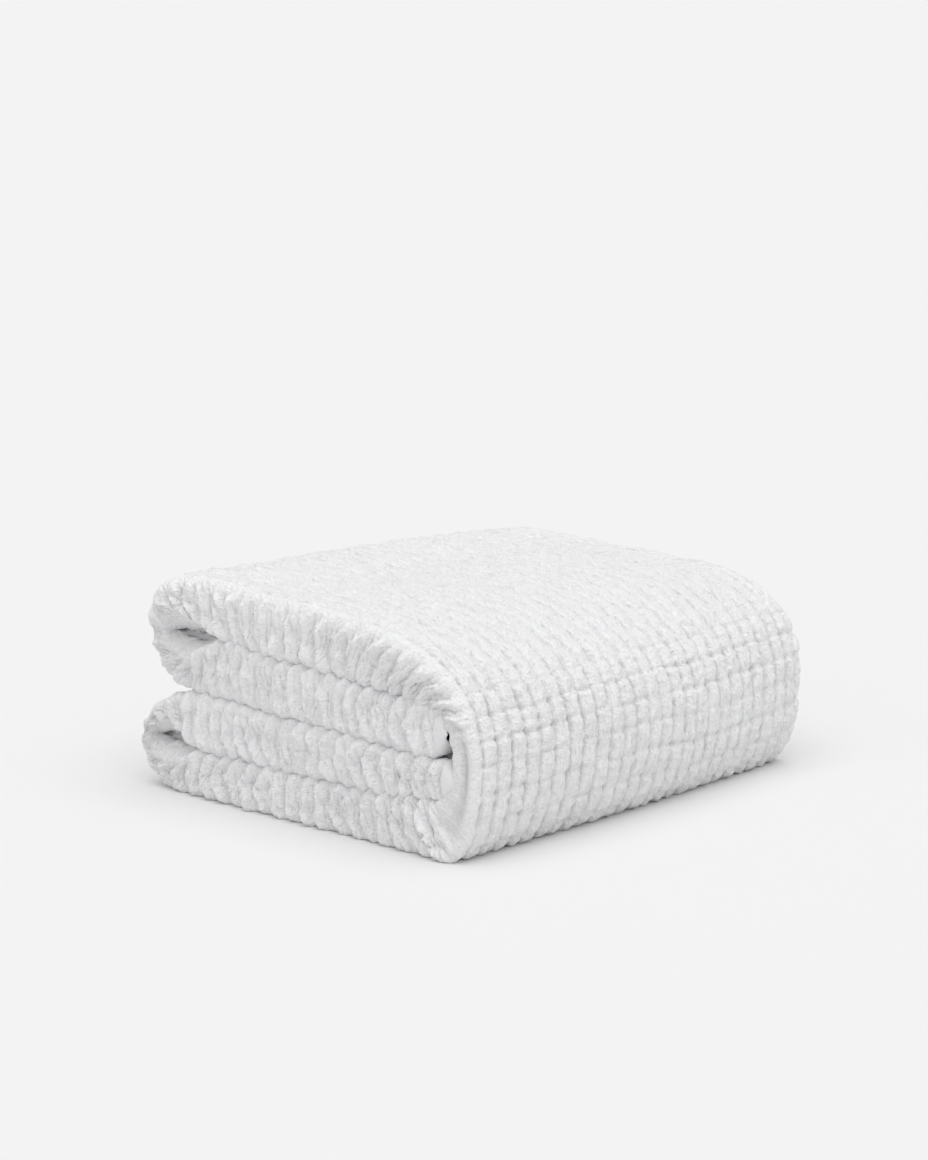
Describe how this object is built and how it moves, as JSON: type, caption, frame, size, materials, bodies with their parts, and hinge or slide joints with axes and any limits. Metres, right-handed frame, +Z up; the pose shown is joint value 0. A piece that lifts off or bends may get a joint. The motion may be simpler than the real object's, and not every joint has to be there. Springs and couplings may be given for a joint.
{
  "type": "folded throw blanket",
  "caption": "White puckered cotton throw, folded in four across, its ends turned in to the middle and closed like a book.",
  "frame": {"origin": "middle of the footprint, on the surface that the folded throw lies on", "axes": "+Z up; +X towards the closed spine of the book fold; Y along the spine, with the outer fold of the four plies at -Y and the hems at +Y"},
  "size_m": [0.327, 0.375, 0.155],
  "materials": {
    "cotton": "soft puckered cotton, matt",
    "hem_cotton": "flat stitched cotton hem, matt",
    "label_satin": "blank satin ribbon, low sheen"
  },
  "bodies": {
    "bottom_half": {"bottom_layer": "cotton", "lower_end_turn": "cotton", "lower_inner_flap": "cotton", "lower_flap_side_hem": "hem_cotton", "first_end_hem_bottom": "hem_cotton", "last_end_hem_bottom": "hem_cotton", "first_end_hem_lower_turn": "hem_cotton", "last_end_hem_lower_turn": "hem_cotton", "first_end_hem_lower_flap": "hem_cotton", "last_end_hem_lower_flap": "hem_cotton", "care_label": "label_satin"},
    "spine": {"spine_wall": "cotton", "first_end_hem_spine": "hem_cotton", "last_end_hem_spine": "hem_cotton"},
    "top_half": {"top_layer": "cotton", "upper_end_turn": "cotton", "upper_inner_flap": "cotton", "upper_flap_side_hem": "hem_cotton", "first_end_hem_top": "hem_cotton", "last_end_hem_top": "hem_cotton", "first_end_hem_upper_turn": "hem_cotton", "last_end_hem_upper_turn": "hem_cotton", "first_end_hem_upper_flap": "hem_cotton", "last_end_hem_upper_flap": "hem_cotton"}
  },
  "joints": [
    {"name": "lower_spine_fold", "type": "hinge", "parent": "bottom_half", "child": "spine", "pos_m": [0.1545, 0, 0.014], "axis": [0, 1, 0], "range_deg": [0, 90]},
    {"name": "upper_spine_fold", "type": "hinge", "parent": "spine", "child": "top_half", "pos_m": [0.1405, 0, 0.127], "axis": [0, 1, 0], "range_deg": [0, 90]}
  ],
  "couplings": [
    {"joint": "upper_spine_fold", "follows": "lower_spine_fold", "ratio": 1}
  ]
}
